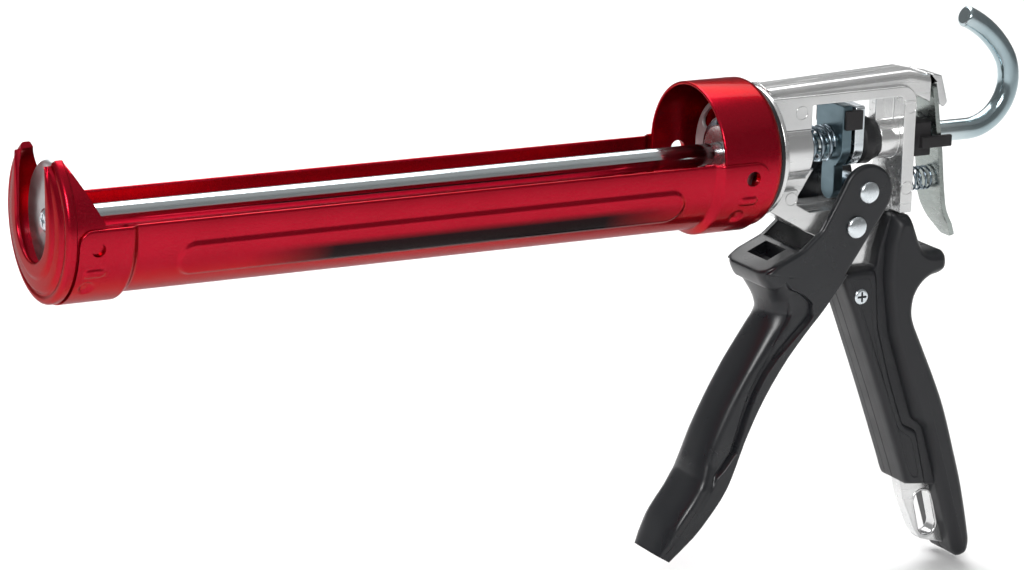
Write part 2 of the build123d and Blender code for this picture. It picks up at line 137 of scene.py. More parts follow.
def blend_colours(tree, factor, first, second):
    """A colour that runs from the first to the second as the factor goes from 0 to 1. Each is a fixed
    colour or another node's."""
    node = tree.nodes.new("ShaderNodeMix")
    node.data_type = "RGBA"
    tree.links.new(factor, node.inputs["Factor"])
    for socket, colour in (("A", first), ("B", second)):
        if isinstance(colour, tuple):
            node.inputs[socket].default_value = (*colour, 1)
        else:
            tree.links.new(colour, node.inputs[socket])
    return node.outputs["Result"]


def own_coordinate(tree, axis):
    """The piece's own coordinate along one axis, in metres."""
    where = tree.nodes.new("ShaderNodeTexCoord")
    parts = tree.nodes.new("ShaderNodeSeparateXYZ")
    tree.links.new(where.outputs["Object"], parts.inputs["Vector"])
    return parts.outputs[axis]


def bump(tree, shader, height, depth, strength=1.0):
    """Raises the surface by a height from 0 to 1, depth metres at most."""
    node = tree.nodes.new("ShaderNodeBump")
    node.inputs["Distance"].default_value = depth
    node.inputs["Strength"].default_value = strength
    tree.links.new(height, node.inputs["Height"])
    tree.links.new(node.outputs["Normal"], shader.inputs["Normal"])


def polished_casting():
    """Bright tumbled aluminium: a whitish cast skin with cloudy gloss and flow streaks along the body."""
    material, tree, shader = finish_nodes("polished_casting", (0.9, 0.9, 0.89), 0.84, 0.2)
    cloud = noise(tree, 60)
    streaks = noise(tree, 500, (0.06, 1, 1), 2.0)
    tree.links.new(spread(tree, streaks, 0.14, 0.30), shader.inputs["Roughness"])
    tree.links.new(blend_colours(tree, cloud, (0.84, 0.84, 0.83), (0.58, 0.59, 0.60)),
                   shader.inputs["Base Color"])
    bump(tree, shader, streaks, 0.00004, 0.5)
    return material


casting_metal = polished_casting()
broken_edges("body_casting", "frame", casting_metal, 0.45)


def close_grid(name, points, ends=True):
    """A closed surface on a grid of points in millimetres. Rows run along u, columns run round v and
    wrap. Each end row is closed by one face. Faces are turned outwards, by the sign of the volume
    they enclose."""
    rows, cols = points.shape[:2]
    verts = points.reshape(-1, 3)
    i = np.arange(rows - 1)[:, None]
    j = np.arange(cols)[None, :]
    k = (j + 1) % cols
    corners = np.broadcast_arrays(i * cols + j, i * cols + k, (i + 1) * cols + k, (i + 1) * cols + j)
    faces = np.stack(corners, axis=-1).reshape(-1, 4).tolist()
    if ends:
        ring = np.arange(cols)
        faces += [ring[::-1].tolist(), ((rows - 1) * cols + ring).tolist()]
    triangles = [(f[0], f[n], f[n + 1]) for f in faces for n in range(1, len(f) - 1)]
    t = verts[np.array(triangles)]
    volume = np.einsum("ij,ij->i", t[:, 0], np.cross(t[:, 1], t[:, 2])).sum()
    if volume < 0:
        faces = [f[::-1] for f in faces]
    mesh = bpy.data.meshes.new(name)
    mesh.from_pydata((verts * MM).tolist(), [], faces)
    mesh.update()
    return mesh


def close_ring(name, points):
    """A closed surface on a grid that wraps both ways."""
    closed = np.concatenate([points, points[:1]])
    mesh = close_grid(name, closed, ends=False)
    work = bmesh.new()
    work.from_mesh(mesh)
    bmesh.ops.remove_doubles(work, verts=work.verts, dist=1e-7)
    work.to_mesh(mesh)
    work.free()
    return mesh


def joined(name, *meshes):
    """One mesh with all the given ones in it."""
    work = bmesh.new()
    for part in meshes:
        work.from_mesh(part)
    mesh = bpy.data.meshes.new(name)
    work.to_mesh(mesh)
    work.free()
    return mesh


def ejector_marks():
    """Thin raised rings on the near and far faces: each is a small torus, half sunk in the face."""
    turn = np.linspace(0, 2 * np.pi, 32, endpoint=False)[:, None]
    wire = np.linspace(0, 2 * np.pi, 8, endpoint=False)[None, :]
    reach = mark_radius + mark_half_width * np.cos(wire)
    rise = mark_rise * np.sin(wire) + 0 * turn
    rings = [close_ring("mark", np.stack([x + reach * np.cos(turn), side + rise, z + reach * np.sin(turn)], axis=-1))
             for x, z in mark_centres for side in (-body_half, body_half)]
    mesh = joined("ejector_marks", *rings)
    smooth(mesh, 60)
    place(mesh, "ejector_marks", "frame", casting_metal)


def slot_rim():
    """The lanyard slot's rounded edge: a soft rectangle (a superellipse) carried round the stadium."""
    turn = (np.arange(80) + 0.5)[:, None] * 2 * np.pi / 80
    section = np.linspace(0, 2 * np.pi, 20, endpoint=False)[None, :]
    soft = lambda wave: np.sign(wave) * np.abs(wave) ** 0.5
    reach = slot_radius + rim_half_width * soft(np.cos(section))
    along = reach * np.cos(turn) + slot_half_length * np.sign(np.cos(turn))
    aside = reach * np.sin(turn)
    x = slot_x + along * np.cos(slot_tilt) - aside * np.sin(slot_tilt)
    z = slot_z + along * np.sin(slot_tilt) + aside * np.cos(slot_tilt)
    y = rim_half_depth * soft(np.sin(section)) + 0 * x
    mesh = close_ring("slot_rim", np.stack([x, y, z], axis=-1))
    smooth(mesh, 60)
    place(mesh, "slot_rim", "frame", casting_metal)


ejector_marks()
slot_rim()

# ---- Swivel: ring, seat disc, circlip ----
# The holder turns between a moulded black ring and a grey die-cast seat disc, which a circlip of
# spring steel keeps on the casting's spigot.


def moulded_black(name, colour, roughness, grain, depth):
    """Black moulding with a fine spark-eroded grain and slightly uneven gloss."""
    material, tree, shader = finish_nodes(name, colour, 0.0, roughness)
    shader.inputs["Specular IOR Level"].default_value = 0.36
    tree.links.new(spread(tree, noise(tree, 90), roughness - 0.05, roughness + 0.06),
                   shader.inputs["Roughness"])
    tree.links.new(blend_colours(tree, noise(tree, 45), colour, tuple(1.4 * c for c in colour)),
                   shader.inputs["Base Color"])
    bump(tree, shader, noise(tree, grain, detail=2.0), depth, 0.5)
    return material


def spring_steel():
    """Oiled blue-black spring steel."""
    material, tree, shader = finish_nodes("spring_steel", (0.2, 0.25, 0.29), 1.0, 0.25)
    tree.links.new(blend_colours(tree, noise(tree, 300), (0.14, 0.19, 0.23), (0.36, 0.42, 0.46)),
                   shader.inputs["Base Color"])
    return material


def seat_grey():
    """Satin grey cast disc, a little mottled."""
    material, tree, shader = finish_nodes("seat_grey", (0.5, 0.48, 0.48), 0.35, 0.5)
    tree.links.new(blend_colours(tree, noise(tree, 220), (0.42, 0.40, 0.40), (0.58, 0.56, 0.56)),
                   shader.inputs["Base Color"])
    bump(tree, shader, noise(tree, 1800), 0.00005, 0.5)
    return material


ring_black = moulded_black("ring_black", (0.012, 0.012, 0.013), 0.4, 2500, 0.00003)
steel_spring = spring_steel()
broken_edges("swivel_ring", "frame", ring_black, 0.3)
broken_edges("seat_disc", "frame", seat_grey(), 0.3)
broken_edges("swivel_circlip", "frame", steel_spring, 0.15)

# ---- Collar, cradle and front cap ----
# The holder is three pressings of 1.2 mm steel sheet: a deep-drawn collar, a half-round trough whose
# ends are joggled over its neighbours, and a horseshoe cap. They are staked together and then
# painted a candy red over bright steel.
collar_radius, collar_wall, collar_lip, collar_corner = 27.0, 1.3, 0.65, 4.0
collar_back, collar_bore = 24.8, 10.3
trough_front, trough_rear, end_corner = -243.5, 17.5, 5.0
trough_radius, trough_top, sheet = 26.0, 2.0, 1.2
lap_radius, front_joggle, rear_joggle, joggle_length = 28.2, -221.6, -3.9, 3.6
panel_x, panel_z, panel_half_length, panel_half_height = -111.0, -11.65, 97.0, 6.8
panel_rise, panel_shoulder, sides_start = 0.95, 1.9, 12.0
rear_hole, front_hole, hole_reach = (11.0, -3.3, 2.8), (-236.8, -4.4, 2.4), (-30, 30)
stake_spots = ((10.2, -11.6, 8.0, -18.0), (-237.5, -12.6, -239.0, -18.4))
# The print's four soft edges, in metres: it is clear at the first place and full at the second.
print_edges = (("X", -0.182, -0.150), ("X", -0.012, -0.046), ("Z", -0.0188, -0.0172), ("Z", -0.0098, -0.0126))


def turned(name, profile, steps=128):
    """A closed profile of (x, radius) points in millimetres, carried round the rod's axis."""
    x, r = np.array(profile, dtype=float).T
    angle = np.linspace(0, 2 * np.pi, steps, endpoint=False)[:, None]
    points = np.stack([np.broadcast_to(x, (steps, len(x))), r * np.cos(angle), r * np.sin(angle)], axis=-1)
    return close_ring(name, points)


def arc(centre, radius, start, end, steps=7):
    """Points (x, radius) of a round corner, by its centre and its two angles in degrees."""
    a = np.radians(np.linspace(start, end, steps))
    return [(centre[0] + radius * np.cos(t), centre[1] + radius * np.sin(t)) for t in a]


def cut(piece_mesh, *cutters):
    """The mesh with the cutters' shapes taken out of it."""
    body = bpy.data.objects.new("blank", piece_mesh)
    bpy.context.scene.collection.objects.link(body)
    tools = []
    for cutter in cutters:
        tool = bpy.data.objects.new("tool", cutter)
        bpy.context.scene.collection.objects.link(tool)
        step = body.modifiers.new("cut", "BOOLEAN")
        step.operation = "DIFFERENCE"
        step.solver = "EXACT"
        step.object = tool
        tools.append(tool)
    done = bpy.data.meshes.new_from_object(body.evaluated_get(bpy.context.evaluated_depsgraph_get()))
    for extra in [body, *tools]:
        bpy.data.objects.remove(extra)
    return done


def rod_across(x, z, radius, y0, y1, steps=32):
    """A round bar across the gun, as a cutter."""
    angle = np.linspace(0, 2 * np.pi, steps, endpoint=False)
    ring = np.stack([x + radius * np.cos(angle), np.zeros(steps), z + radius * np.sin(angle)], axis=-1)
    return close_grid("bar", np.stack([ring + (0, y0, 0), ring + (0, y1, 0)]))


def candy_red(name, striped=False):
    """Candy red lacquer over bright steel: a clear coat over a deep red metal with fine flake. On the
    trough, a black print fades in and out along the lower part of each side panel."""
    material, tree, shader = finish_nodes(name, (0.5, 0.012, 0.03), 0.92, 0.28)
    cloud = noise(tree, 35)
    colour = blend_colours(tree, cloud, (0.48, 0.006, 0.024), (0.37, 0.004, 0.016))
    flake = noise(tree, 6000, detail=1.0)
    tree.links.new(spread(tree, flake, 0.22, 0.34), shader.inputs["Roughness"])
    if striped:
        fades = [spread(tree, own_coordinate(tree, axis), 0.0, 1.0, *places) for axis, *places in print_edges]
        ink = fades[0]
        for fade in fades[1:]:
            both = tree.nodes.new("ShaderNodeMath")
            both.operation = "MULTIPLY"
            tree.links.new(ink, both.inputs[0])
            tree.links.new(fade, both.inputs[1])
            ink = both.outputs["Value"]
        colour = blend_colours(tree, ink, colour, (0.012, 0.004, 0.006))
    tree.links.new(colour, shader.inputs["Base Color"])
    shader.inputs["Specular Tint"].default_value = (0.3, 0.03, 0.07, 1)
    shader.inputs["Coat Weight"].default_value = 0.25
    shader.inputs["Coat Roughness"].default_value = 0.06
    shader.inputs["Coat IOR"].default_value = 1.4
    bump(tree, shader, noise(tree, 260), 0.00006, 0.4)
    return material


red = candy_red("candy_red")
printed_red = candy_red("printed_red", striped=True)
lip_centre = (collar_lip, collar_radius - collar_lip)
corner_centre = (collar_back - collar_corner, collar_radius - collar_corner)
collar_profile = (arc(lip_centre, collar_lip, 180, 90) + arc(corner_centre, collar_corner, 90, 0, 12)
                  + [(collar_back, 14.0), (collar_back, collar_bore), (collar_back - collar_wall, collar_bore)]
                  + arc(corner_centre, collar_corner - collar_wall, 0, 90, 12)
                  + arc(lip_centre, collar_lip, 270, 180))
collar_mesh = cut(turned("collar_skin", collar_profile, 160), rod_across(*rear_hole, *hole_reach))
smooth(collar_mesh, 40)
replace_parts(place(collar_mesh, "collar_skin", "holder", red), "collar")


def trough():
    """The trough's outer radius follows x: lap, joggle, plain, joggle, lap. Its half section runs from
    one long edge down round to the other, outside, and back inside, one sheet thinner. The long
    edges drop in a quarter circle at both ends. A pressed panel and stakes move both skins outwards."""
    ends = np.concatenate([np.linspace(0, 5, 14), np.linspace(5.8, 16, 14), np.linspace(16.3, 24, 26)])
    x = np.concatenate([trough_front + ends, np.linspace(-218, -196, 40)[1:], np.linspace(-196, -26, 60)[1:],
                        np.linspace(-26, -8, 34)[1:], trough_rear - ends[::-1]])
    x = np.unique(np.round(x, 4))
    ease = lambda t: np.clip(t, 0, 1) ** 2 * (3 - 2 * np.clip(t, 0, 1))
    lap = np.maximum(ease((front_joggle - x) / joggle_length), ease((x - rear_joggle) / joggle_length))
    radius = trough_radius + (lap_radius - trough_radius) * lap
    near_end = np.clip(end_corner - np.minimum(x - trough_front, trough_rear - x), 0, end_corner)
    top = trough_top - (end_corner - np.sqrt(end_corner ** 2 - near_end ** 2))
    tip = np.arcsin(top / radius)
    v = np.linspace(0, 1, 165)
    outside = -tip[:, None] + (np.pi + 2 * tip[:, None]) * v
    edge = np.array([0.1, 0.4, 0.8, 1.1])
    thick = np.concatenate([np.zeros(len(v)), edge, np.full(len(v), sheet), edge[::-1]])
    lip = np.array([0.25, 0.45, 0.45, 0.25])
    angle = np.concatenate([outside, outside[:, -1:] + lip / trough_radius,
                            outside[:, ::-1], outside[:, :1] - lip / trough_radius], axis=1)
    r = radius[:, None] - thick
    z = -r * np.sin(angle)
    y = -r * np.cos(angle)
    pressed = panel_rise * panel_shape(x[:, None], z) + stakes(x[:, None], z)
    r = r + pressed * (np.abs(y) > sides_start)
    return np.stack([np.broadcast_to(x[:, None], r.shape), -r * np.cos(angle), -r * np.sin(angle)], axis=-1)


def panel_shape(x, z):
    """1 inside the side panel's long stadium and 0 outside. Over the shoulder it follows 3t^2 - 2t^3."""
    along = np.clip(np.abs(x - panel_x) - (panel_half_length - panel_half_height), 0, None)
    away = np.hypot(along, z - panel_z)
    t = np.clip((panel_half_height - away) / panel_shoulder, 0, 1)
    return t * t * (3 - 2 * t)


def stakes(x, z):
    """Pressed stakes at both laps: a bar over a round dimple, raised or sunk by nearly a millimetre."""
    height = np.zeros(np.broadcast(x, z).shape)
    for bar_x, bar_z, dot_x, dot_z in stake_spots:
        bar = np.hypot(np.clip(np.abs(x - bar_x) - 2.2, 0, None), z - bar_z)
        dot = np.hypot(x - dot_x, z - dot_z)
        height = height + 0.85 * np.clip((1.8 - bar) / 0.9, 0, 1) - 0.95 * np.clip((2.5 - dot) / 0.8, 0, 1)
    return height


trough_mesh = cut(close_grid("cradle_skin", trough()), rod_across(*rear_hole, *hole_reach),
                  rod_across(*front_hole, *hole_reach))
smooth(trough_mesh, 50)
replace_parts(place(trough_mesh, "cradle_skin", "holder", printed_red), "cradle")

slot_half, face_radius, cap_rim = 13.5, 25.6, 27.8
arm_top, arm_radius, skirt_back = 22.9, 27.0, -226.0


def cap():
    """The horseshoe cap's wall is a profile of (x, radius) points, outside and back inside, carried
    round the axis from one arm's tip down to the other's. Above the trough the skirt's points are drawn
    forward, to a sloping edge. There the face is squeezed outwards too, so that the slot's sides run
    straight up: a point's radius is scaled between the slot's side and the face's outer step."""
    profile = np.array([(-226, 26.95), (-230, 26.95), (-236, 26.95), (-243.2, 26.95)]
                       + arc((-244.7, cap_rim - 0.9), 0.9, 0, 90, 6) + arc((-246.1, cap_rim - 1.6), 1.6, 90, 180, 8)
                       + [(-247.75, 25.5), (-247.4, 25.0), (-247.35, 24.5), (-247.7, 23.9), (-248.4, 23.3),
                          (-248.75, 22.4), (-248.85, 19.9), (-249.0, 19.2), (-249.5, 18.6), (-249.9, 17.8),
                          (-250.0, 16.8), (-250.0, 14.8)]
                       + arc((-249.3, 14.2), 0.7, 180, 270, 5) + arc((-249.0, 14.2), 0.7, 270, 350, 4)
                       + [(-248.4, 16.8), (-247.6, 18.2), (-247.2, 22.2), (-246.4, 24.0), (-245.6, 25.5),
                          (-243, 25.7), (-236, 25.7), (-230, 25.7), (-226, 25.7)])
    x, r = profile.T
    tip = np.arcsin(arm_top / arm_radius)
    v = np.linspace(0, 1, 241)[:, None]
    angle = -tip + (np.pi + 2 * tip) * v
    side = slot_half / np.clip(np.abs(np.cos(angle)), 0.3, 1)
    face = np.where(np.sin(angle) < 0, np.minimum(side, face_radius - 0.4), slot_half)
    squeezed = face_radius - (face_radius - r) * (face_radius - face) / (face_radius - slot_half)
    r = np.where(r < face_radius, squeezed, r + 0 * angle)
    high = -r * np.sin(angle)
    ease = np.clip(high / 2.0, 0, 1)
    limit = skirt_back + ease * np.minimum(-6.0 - high * 12.0 / 23.0, 0)
    x = np.minimum(x, np.clip(limit, -243.8, None))
    return np.stack([x, -r * np.cos(angle), high], axis=-1)


cap_mesh = close_grid("front_cap_skin", cap())
smooth(cap_mesh, 42)
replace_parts(place(cap_mesh, "front_cap_skin", "holder", red), "front_cap")

# ---- Push rod, hook and piston ----
# An 8 mm drawn steel rod, bent into a hook at the rear and plated. At its front a zinc-plated pressed
# piston plate is held by a washer and a cross-recess screw in the rod's end.
rod_radius, round_end = 4.0, 1.3
rod_front, bend_start = -240.3, 120.0
bend_radius, bend_turn = 18.0, radians(123)
crook_radius, crook_turn = 40.0, radians(35)


def rod_surface():
    """Circles of the rod's radius on a path: straight along X, a bend of 18 mm radius, then a slacker
    crook of 40 mm, with the hook's tip drawn in over a quarter circle."""
    straight = np.linspace(rod_front, bend_start, 60)
    a = np.linspace(0, bend_turn, 61)[1:]
    b = np.linspace(0, crook_turn, 25)[1:]
    bend = np.stack([bend_start + bend_radius * np.sin(a), bend_radius * (1 - np.cos(a))], axis=1)
    centre = bend[-1] + crook_radius * np.array([-np.sin(bend_turn), np.cos(bend_turn)])
    crook = centre + crook_radius * np.stack([np.sin(bend_turn + b), -np.cos(bend_turn + b)], axis=1)
    path = np.concatenate([np.stack([straight, 0 * straight], axis=1), bend, crook])
    heading = np.concatenate([0 * straight, a, bend_turn + b])
    tip = np.linspace(0, np.pi / 2, 8)[1:]
    end_way = np.array([np.cos(heading[-1]), np.sin(heading[-1])])
    drawn_in = round_end * (1 - np.sin(tip))
    end_radius = rod_radius - round_end * (1 - np.cos(tip))
    path = np.concatenate([path[:-1], path[-1] - drawn_in[:, None] * end_way])
    radius = np.concatenate([np.full(len(heading) - 1, rod_radius), end_radius])
    heading = np.concatenate([heading[:-1], np.full(len(tip), heading[-1])])
    turn = np.linspace(0, 2 * np.pi, 40, endpoint=False)
    side = np.stack([-np.sin(heading), np.cos(heading)], axis=1)
    x = path[:, :1] + radius[:, None] * np.cos(turn) * side[:, :1]
    z = path[:, 1:] + radius[:, None] * np.cos(turn) * side[:, 1:]
    y = radius[:, None] * np.sin(turn)
    return np.stack([x, y, z], axis=-1)


def plated_rod():
    """Bright plated drawn rod: very smooth, with faint lengthwise draw lines. Over the bend and hook its colour is
    painted darker, as painted shade standing in for the darker reflections there.
    """
    material, tree, shader = finish_nodes("plated_rod", (0.86, 0.88, 0.88), 1.0, 0.14)
    lines = noise(tree, 1400, (0.01, 1, 1), 2.0)
    tree.links.new(spread(tree, lines, 0.08, 0.2), shader.inputs["Roughness"])
    straight = blend_colours(tree, noise(tree, 25), (0.80, 0.85, 0.86), (0.62, 0.70, 0.72))
    # Painted shade: a darker colour over the bend and hook stands in for the dark reflections that fall there.
    bend_painted_shade = blend_colours(tree, noise(tree, 60), (0.42, 0.52, 0.55), (0.28, 0.36, 0.39))
    painted_shade_at_bend = spread(tree, own_coordinate(tree, "X"), 0.0, 1.0, 0.098, 0.125)
    tree.links.new(blend_colours(tree, painted_shade_at_bend, straight, bend_painted_shade), shader.inputs["Base Color"])
    bump(tree, shader, lines, 0.00001, 0.4)
    return material


def zinc(name, first, second, roughness):
    """Clear or dark zinc plate: cool grey, softly clouded, with faint rub marks."""
    material, tree, shader = finish_nodes(name, first, 1.0, roughness)
    tree.links.new(blend_colours(tree, noise(tree, 120), first, second), shader.inputs["Base Color"])
    tree.links.new(spread(tree, noise(tree, 500, (1, 0.3, 1)), roughness - 0.04, roughness + 0.08),
                   shader.inputs["Roughness"])
    bump(tree, shader, noise(tree, 300), 0.00001, 0.3)
    return material


rod_metal = plated_rod()
bright_zinc = zinc("bright_zinc", (0.80, 0.84, 0.86), (0.62, 0.69, 0.73), 0.22)
dark_zinc = zinc("dark_zinc", (0.17, 0.24, 0.27), (0.11, 0.16, 0.19), 0.34)
plate_zinc = zinc("plate_zinc", (0.78, 0.80, 0.80), (0.66, 0.69, 0.70), 0.42)
lever_zinc = zinc("lever_zinc", (0.34, 0.37, 0.35), (0.26, 0.29, 0.28), 0.26)
rod_mesh = close_grid("push_rod_skin", rod_surface())
smooth(rod_mesh, 40)
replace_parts(place(rod_mesh, "push_rod_skin", "rod", rod_metal), "push_rod")
piston_profile = (arc((-242.0, 18.6), 1.4, 180, 90) + arc((-240.6, 19.3), 0.7, 90, -90, 9)
                  + [(-241.6, 18.4), (-241.9, 17.6), (-242.0, 14.0), (-242.6, 9.0), (-242.0, 8.0), (-242.0, 2.7),
                     (-243.4, 2.7), (-243.4, 8.0), (-243.9, 9.0), (-243.4, 14.2)])
piston_mesh = turned("piston_plate_skin", piston_profile)
smooth(piston_mesh, 45)
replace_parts(place(piston_mesh, "piston_plate_skin", "rod", plate_zinc), "piston_plate")
broken_edges("piston_washer", "rod", bright_zinc, 0.2)
broken_edges("piston_screw", "rod", bright_zinc, 0.15)

# ---- Rod drive: plates, spacer, spring and rear buffer ----
# Two thick hardened plates bite on the rod when the trigger pushes the front one's tail. A black
# moulded spacer keeps them apart, a coil spring pushes them back against a rubber buffer.
block_black = moulded_black("block_black", (0.012, 0.011, 0.012), 0.5, 1500, 0.00004)
broken_edges("drive_plate", "drive", dark_zinc, 0.35)
broken_edges("grip_plate", "drive", bright_zinc, 0.35)
broken_edges("plate_carrier", "drive", block_black, 0.3)
broken_edges("rear_buffer", "frame", ring_black, 0.2)


def coil(x0, x1, z, turns, radius, wire):
    """A wire wound on a cylinder along X: its centre turns evenly while it moves along, and each end
    turn closes up flat."""
    u = np.linspace(0, 1, int(turns * 40))
    angle = 2 * np.pi * turns * u
    flat = 0.55 / turns
    along = np.clip((u - flat) / (1 - 2 * flat), 0, 1)
    x = x0 + wire + (x1 - x0 - 2 * wire) * along
    out = np.stack([0 * u, np.cos(angle), np.sin(angle)], axis=1)
    centre = np.stack([x, 0 * u, 0 * u + z], axis=1) + radius * out
    turn = np.linspace(0, 2 * np.pi, 12, endpoint=False)
    return (centre[:, None] + wire * np.cos(turn)[None, :, None] * out[:, None]
            + wire * np.sin(turn)[None, :, None] * np.array([1.0, 0, 0]))


def spring(name, points):
    """A coil spring piece that rides on the frame in place of the CAD spring, with a mesh of its own."""
    mesh = close_grid(name + "_skin", points)
    smooth(mesh, 60)
    piece = place(mesh, name + "_skin", "frame", steel_spring)
    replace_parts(piece, name)
    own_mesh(piece)


drive_coil = coil(x0=45.9, x1=59.4, z=0, turns=4.5, radius=6.1, wire=0.75)
spring("drive_spring", drive_coil)

# ---- Trigger ----
# A black-coated die-cast trigger: two cheeks straddle the body on a rivet, a saddle joins them in
# front, and the finger part below is a deep channel with a full, rounded front and a flared toe.


def through(points, steps):
    """An even run of points, by distance, along a smooth curve through the given ones. Between two of
    them it is a cubic, whose slope at each is half the step between that point's neighbours."""
    p = np.array(points, dtype=float)
    pad = np.vstack([2 * p[0] - p[1], p, 2 * p[-1] - p[-2]])
    t = np.linspace(0, 1, 24, endpoint=False)[:, None]
    runs = []
    for n in range(len(p) - 1):
        a, b, c, d = pad[n:n + 4]
        runs.append(0.5 * (2 * b + (c - a) * t + (2 * a - 5 * b + 4 * c - d) * t ** 2
                           + (3 * b - a - 3 * c + d) * t ** 3))
    fine = np.vstack(runs + [p[-1:]])
    gone = np.concatenate([[0], np.cumsum(np.hypot(*np.diff(fine, axis=0).T))])
    want = np.linspace(0, gone[-1], steps)
    return np.stack([np.interp(want, gone, fine[:, 0]), np.interp(want, gone, fine[:, 1])], axis=1)


finger_front = [(-12.4, -146.6), (-6.9, -135.1), (-0.3, -125.7), (2.9, -120.2), (4.0, -117.0), (5.5, -112.4),
                (9.5, -102.4), (16.2, -89.2), (27.7, -69.9), (31.9, -62.0), (31.9, -56.6), (28.8, -49.6),
                (26.7, -44.8)]
finger_rear = [(-7.6, -149.4), (-1.8, -144.0), (6.0, -136.0), (15.0, -123.6), (22.3, -105.2), (28.9, -91.2),
               (36.1, -79.2), (45.3, -66.6), (53.2, -57.2), (61.4, -46.8)]
finger_wall, middle_gap = 2.6, 0.01
toe_end, toe_blend = 0.29, 0.03


def finger(steps=190):
    """Each row runs from a point of the front curve to one of the rear curve. Half of it, outside, is a
    rounded nose (a superellipse), a straight side, a soft groove and a flat band up to the rear edge;
    the inside comes back one wall thinner, and is filled at the toe. The other half mirrors it. Where
    the groove lies, and how wide the nose and the band are, comes from tables along the finger."""
    front, rear = through(finger_front, steps), through(finger_rear, steps)
    s = np.linspace(0, 1, steps)
    depth = np.hypot(*(rear - front).T)
    at = lambda places, values: np.interp(s, places, values)[:, None]
    band = at([0, 0.1, 0.3, 0.5, 0.7, 0.85, 1], [10.6, 11.9, 12.2, 12.5, 13.4, 14.97, 14.97])
    nose = at([0, 0.04, 0.1, 0.25, 0.29, 0.33, 0.5, 0.7, 0.8, 0.855, 0.9, 0.95, 0.985, 1],
              [9.6, 11.0, 11.7, 11.9, 11.2, 10.5, 10.2, 10.2, 10.2, 10.3, 11.2, 12.9, 14.6, 14.9])
    reach = at([0, 0.05, 0.2, 0.3, 0.5, 0.65, 0.8, 0.855, 0.9, 0.95, 0.985, 1],
               [2.4, 3.4, 4.6, 5.0, 5.6, 5.8, 8.6, 12.0, 10.0, 7.5, 6.2, 6.0])
    share = at([0, 0.27, 0.3, 0.325, 0.385, 0.45, 0.51, 0.575, 0.645, 0.705, 0.765, 0.825, 0.855, 0.9, 0.94,
                0.965, 1], [0.6, 0.5, 0.5, 0.62, 0.80, 0.77, 0.69, 0.61, 0.58, 0.62, 0.71, 0.79, 0.78, 0.65,
                            0.42, 0.2, 0.12])
    deep = at([0, 0.27, 0.33, 0.4, 0.9, 0.95, 1], [0, 0, 0.8, 1.1, 0.7, 0.2, 0])
    depth = depth[:, None]
    line = np.maximum(share * depth, reach + 1.0)
    power = at([0, 0.3, 0.7, 0.8, 0.86, 0.93, 1], [3.0, 3.0, 2.7, 2.3, 2.1, 2.3, 2.6])
    a = np.linspace(0, 0.5 * np.pi, 22)[None, :]
    nose_d = reach * (1 - np.cos(a) ** (2 / power))
    nose_y = nose * np.sin(a) ** (2 / power)
    u = np.linspace(0, 1, 6)[None, 1:-1]
    side_d = reach + (line - 1.0 - reach) * u
    side_y = nose + 0 * u
    w = np.linspace(-1, 1, 13)[None, :]
    step_d = line + w * np.minimum(1.3, 0.5 * (depth - line))
    rise = np.clip(w * 0.9 + 0.4, 0, 1)
    step_y = nose + (band - nose) * rise * rise * (3 - 2 * rise) - deep * np.exp(-((w + 0.25) / 0.35) ** 2)
    end_d = np.maximum(depth - 0.9, line + 0.6 * (depth - line))
    flat_d = step_d[:, -1:] + (end_d - step_d[:, -1:]) * np.array([[0.33, 0.66, 1.0]])
    flat_y = band + 0 * flat_d
    b = np.radians([[22.5, 45, 67.5, 90]])
    lip_d = end_d + (depth - end_d) * np.sin(b)
    lip_y = band - 0.9 * (1 - np.cos(b))
    inner_y = band - finger_wall
    shut = np.clip((toe_end - s[:, None]) / toe_blend, 0, 1)
    near = 3.6 + 0.25 * reach
    inside_d = np.concatenate([depth, near + 3.0, near + 0.9, near, near], axis=1)
    inside_d = inside_d + (depth - inside_d) * shut
    inside_y = np.concatenate([inner_y, inner_y, inner_y - 0.9, inner_y - 3.0, 0 * inner_y + middle_gap], axis=1)
    d = np.concatenate([nose_d, side_d, step_d, flat_d, lip_d, inside_d], axis=1)
    y = np.concatenate([nose_y, side_y, step_y, flat_y, lip_y, inside_y], axis=1)
    d = np.concatenate([d, d[:, :0:-1]], axis=1)
    y = np.concatenate([y, -y[:, :0:-1]], axis=1)
    way = (rear - front) / depth
    return np.stack([front[:, :1] + d * way[:, :1], -y, front[:, 1:] + d * way[:, 1:]], axis=-1)


outline_step = 0.6


def inset_ring(outline, inset, soften):
    """The outline drawn in by a distance: each corner moves along its mitre. Then every side is divided
    as often as on the outline itself, and a running mean of three points rounds the corners, over and
    over, and more often the deeper the inset."""
    p = np.array(outline, dtype=float)
    after = np.roll(p, -1, axis=0) - p
    area = (p[:, 0] * np.roll(p[:, 1], -1) - np.roll(p[:, 0], -1) * p[:, 1]).sum()
    long = np.hypot(*after.T)
    normal = np.sign(area) * np.stack([-after[:, 1], after[:, 0]], axis=1) / long[:, None]
    mitre = normal + np.roll(normal, 1, axis=0)
    mitre = mitre / np.hypot(*mitre.T)[:, None]
    mitre = mitre / np.clip((mitre * normal).sum(axis=1), 0.4, 1)[:, None]
    q = p + inset * mitre
    count = np.ceil(long / outline_step).astype(int)
    side = np.repeat(np.arange(len(p)), count)
    part = ((np.arange(len(side)) - (np.cumsum(count) - count)[side]) / count[side])[:, None]
    ring = q[side] * (1 - part) + np.roll(q, -1, axis=0)[side] * part
    for _ in range(soften + int(9 * inset)):
        ring = (np.roll(ring, 1, axis=0) + 2 * ring + np.roll(ring, -1, axis=0)) / 4
    return ring


def plate(outline, profile, soften=5):
    """A plate across the gun: its edge is a profile of (inset, y) points carried round the outline."""
    rows = []
    for inset, y in profile:
        ring = inset_ring(outline, inset, soften)
        rows.append(np.stack([ring[:, 0], np.full(len(ring), y), ring[:, 1]], axis=-1))
    return close_grid("plate", np.stack(rows))


